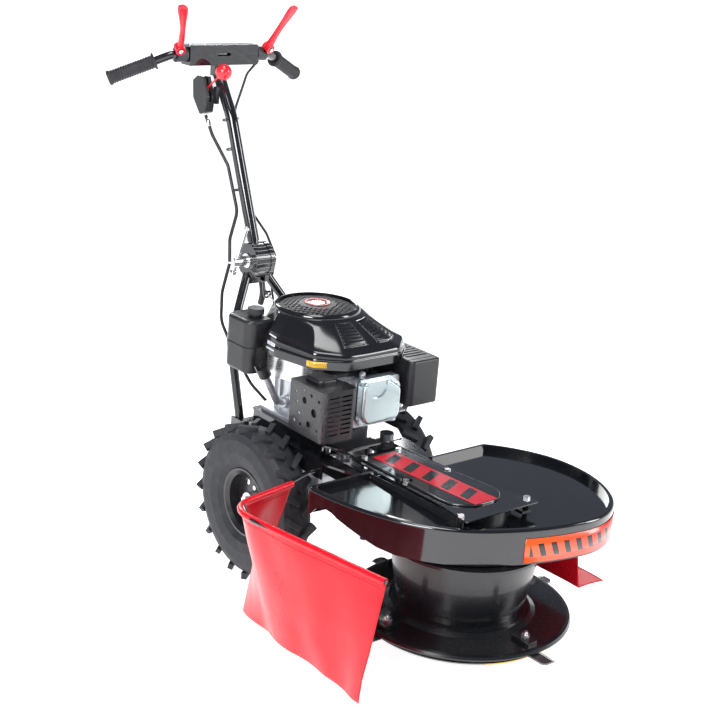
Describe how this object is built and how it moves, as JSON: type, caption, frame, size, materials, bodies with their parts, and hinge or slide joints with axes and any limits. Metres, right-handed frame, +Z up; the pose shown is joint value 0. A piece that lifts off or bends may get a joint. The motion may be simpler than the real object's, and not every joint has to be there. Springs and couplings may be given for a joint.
{
  "type": "brush mower",
  "caption": "Two-wheel single-drum brush mower with an upright engine, a folding handle mast and a red swath curtain beside the drum.",
  "frame": {"origin": "middle of the footprint box on the ground under the standing machine", "axes": "+Z up from the ground, -Y towards the front where the cutting drum is, +X to the left of an operator who stands behind the machine; the wheel axle lies along X"},
  "size_m": [0.7856, 1.2812, 1.3158],
  "materials": {
    "black_enamel": "gloss",
    "black_plastic": "gloss",
    "grey_plastic": "matte",
    "red_plastic": "gloss",
    "zinc_steel": "satin",
    "dark_steel": "satin",
    "cast_alloy": "satin",
    "iron": "matte",
    "tyre": "matte",
    "rubber": "matte",
    "belt_rubber": "matte",
    "tarpaulin": "gloss",
    "rope": "matte"
  },
  "bodies": {
    "frame": {"deck_shell": "black_enamel", "belt_housing": "black_enamel", "belt_cover": "black_enamel", "cover_bolts": "zinc_steel", "spindle_housing": "iron", "chassis": "black_enamel", "gearbox_housing": "cast_alloy", "handle_legs": "black_enamel", "crankcase": "cast_alloy", "blower_ring": "zinc_steel", "cylinder_head": "cast_alloy", "valve_cover": "zinc_steel", "muffler": "dark_steel", "muffler_guard": "black_enamel", "engine_cover": "black_plastic", "cover_grille": "black_plastic", "air_filter_box": "black_plastic", "carburettor": "cast_alloy", "fuel_tank": "black_plastic", "drive_belt": "belt_rubber", "curtain_rod": "black_enamel", "swath_curtain": "tarpaulin", "side_flap": "tarpaulin", "lower_cables": "rubber", "starter_rope": "rope"},
    "wheel_left": {"tyre_left": "tyre", "rim_left": "dark_steel", "hub_left": "zinc_steel"},
    "wheel_right": {"tyre_right": "tyre", "rim_right": "dark_steel", "hub_right": "zinc_steel"},
    "drum": {"drum_shell": "black_enamel", "cutter_disc": "black_enamel", "drum_shaft": "dark_steel", "blade_bolts": "zinc_steel"},
    "knife_1": {"blade_1": "dark_steel"},
    "knife_2": {"blade_2": "dark_steel"},
    "knife_3": {"blade_3": "dark_steel"},
    "knife_4": {"blade_4": "dark_steel"},
    "skid": {"skid_plate": "black_enamel"},
    "crank": {"crankshaft": "dark_steel", "flywheel": "cast_alloy", "engine_pulley": "dark_steel"},
    "belt_arm": {"tensioner_arm": "zinc_steel"},
    "belt_idler": {"tensioner_pulley": "dark_steel"},
    "mast": {"mast_tube": "black_enamel", "tilt_joint_upper": "black_enamel", "handlebar": "black_enamel", "cross_plate": "black_enamel", "handle_grips": "rubber", "lever_brackets": "grey_plastic", "throttle_box": "black_plastic", "upper_cables": "rubber"},
    "joint_clamp": {"clamp_handle": "zinc_steel"},
    "right_lever": {"lever_right": "red_plastic"},
    "left_lever": {"lever_left": "red_plastic"},
    "throttle": {"throttle_lever": "red_plastic"},
    "starter_grip": {"starter_handle": "black_plastic"},
    "tank_cap": {"fuel_cap": "grey_plastic"},
    "oil_stick": {"dipstick": "black_plastic"}
  },
  "joints": [
    {"name": "wheel_left_spin", "type": "hinge", "parent": "frame", "child": "wheel_left", "pos_m": [-0.15609, 0.13792, 0.18752], "axis": [1, 0, 0], "continuous": true},
    {"name": "wheel_right_spin", "type": "hinge", "parent": "frame", "child": "wheel_right", "pos_m": [0.22392, 0.13792, 0.18752], "axis": [1, 0, 0], "continuous": true},
    {"name": "drum_spin", "type": "hinge", "parent": "frame", "child": "drum", "pos_m": [0.03392, -0.37307, 0.16389], "axis": [0, -0.0918, 0.9958], "continuous": true},
    {"name": "knife_1_swing", "type": "hinge", "parent": "drum", "child": "knife_1", "pos_m": [0.23891, -0.36158, 0.03941], "axis": [0, -0.0918, 0.9958], "range_deg": [-90, 90]},
    {"name": "knife_2_swing", "type": "hinge", "parent": "drum", "child": "knife_2", "pos_m": [0.03392, -0.15745, 0.05824], "axis": [0, -0.0918, 0.9958], "range_deg": [-90, 90]},
    {"name": "knife_3_swing", "type": "hinge", "parent": "drum", "child": "knife_3", "pos_m": [-0.17108, -0.36158, 0.03941], "axis": [0, -0.0918, 0.9958], "range_deg": [-90, 90]},
    {"name": "knife_4_swing", "type": "hinge", "parent": "drum", "child": "knife_4", "pos_m": [0.03392, -0.56572, 0.02058], "axis": [0, -0.0918, 0.9958], "range_deg": [-90, 90]},
    {"name": "skid_spin", "type": "hinge", "parent": "drum", "child": "skid", "pos_m": [0.03392, -0.36067, 0.02946], "axis": [0, -0.0918, 0.9958], "continuous": true},
    {"name": "crank_spin", "type": "hinge", "parent": "frame", "child": "crank", "pos_m": [0.03392, 0.17875, 0.36542], "axis": [0, -0.0918, 0.9958], "continuous": true},
    {"name": "belt_arm_swing", "type": "hinge", "parent": "frame", "child": "belt_arm", "pos_m": [-0.03608, 0.02219, 0.32085], "axis": [0, -0.0918, 0.9958], "range_deg": [-5, 0]},
    {"name": "idler_spin", "type": "hinge", "parent": "belt_arm", "child": "belt_idler", "pos_m": [-0.03608, -0.04752, 0.31442], "axis": [0, -0.0918, 0.9958], "continuous": true},
    {"name": "mast_tilt", "type": "hinge", "parent": "frame", "child": "mast", "pos_m": [0.03392, 0.40302, 0.69943], "axis": [1, 0, 0], "range_deg": [-25, 20]},
    {"name": "clamp_turn", "type": "hinge", "parent": "frame", "child": "joint_clamp", "pos_m": [0.03392, 0.40302, 0.69943], "axis": [1, 0, 0], "range_deg": [-30, 60]},
    {"name": "right_lever_squeeze", "type": "hinge", "parent": "mast", "child": "right_lever", "pos_m": [0.16492, 0.53608, 1.20579], "axis": [-0.1579, 0.7976, 0.5821], "range_deg": [0, 50], "stiffness_Nm_per_rad": 0.4},
    {"name": "left_lever_squeeze", "type": "hinge", "parent": "mast", "child": "left_lever", "pos_m": [-0.09709, 0.53608, 1.20579], "axis": [-0.1579, -0.7976, -0.5821], "range_deg": [0, 50], "stiffness_Nm_per_rad": 0.4},
    {"name": "throttle_move", "type": "hinge", "parent": "mast", "child": "throttle", "pos_m": [-0.00209, 0.56853, 1.10435], "axis": [1, 0, 0], "range_deg": [-10, 10]},
    {"name": "starter_pull", "type": "slide", "parent": "frame", "child": "starter_grip", "axis": [0, 0.9052, 0.4251], "range_m": [0, 0.25]},
    {"name": "fuel_cap_turn", "type": "hinge", "parent": "frame", "child": "tank_cap", "pos_m": [-0.10008, 0.21554, 0.61988], "axis": [0, -0.0918, 0.9958], "range_deg": [0, 90]},
    {"name": "dipstick_pull", "type": "slide", "parent": "frame", "child": "oil_stick", "axis": [-0.4631, -0.0406, 0.8854], "range_m": [0, 0.03]}
  ],
  "couplings": [
    {"joint": "crank_spin", "follows": "drum_spin", "ratio": 2}
  ]
}
